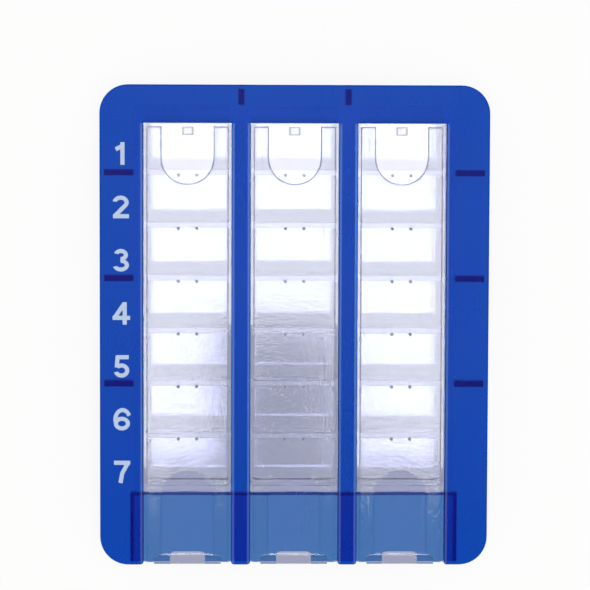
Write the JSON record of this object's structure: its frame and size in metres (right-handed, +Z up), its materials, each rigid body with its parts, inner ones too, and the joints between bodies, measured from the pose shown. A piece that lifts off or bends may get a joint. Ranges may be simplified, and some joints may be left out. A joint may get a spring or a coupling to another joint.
{
  "type": "pill organizer",
  "caption": "Flat see-through blue frame with columns of small scooped pockets under clear lids that slide out at one end, for sorting a week of tablets.",
  "frame": {"origin": "under the middle of the case, on the surface that it rests on", "axes": "+Z up through the lids, +Y along the columns to row one, +X to the right-hand column"},
  "size_m": [0.097, 0.12, 0.018],
  "materials": {
    "blue_plastic": "see-through blue, polished",
    "clear_plastic": "clear, polished",
    "frosted_plastic": "clear with a fine frosted grain",
    "white_print": "printed ink"
  },
  "bodies": {
    "case": {"case_frame": "blue_plastic", "end_shelf": "blue_plastic", "tray_left": "clear_plastic", "tray_middle": "clear_plastic", "tray_right": "clear_plastic"},
    "left_lid": {"lid_left": "frosted_plastic"},
    "middle_lid": {"lid_middle": "frosted_plastic"},
    "right_lid": {"lid_right": "frosted_plastic"}
  },
  "joints": [
    {"name": "left_lid_slide", "type": "slide", "parent": "case", "child": "left_lid", "axis": [0, -1, 0], "range_m": [0, 0.0894]},
    {"name": "middle_lid_slide", "type": "slide", "parent": "case", "child": "middle_lid", "axis": [0, -1, 0], "range_m": [0, 0.0894]},
    {"name": "right_lid_slide", "type": "slide", "parent": "case", "child": "right_lid", "axis": [0, -1, 0], "range_m": [0, 0.0894]}
  ]
}
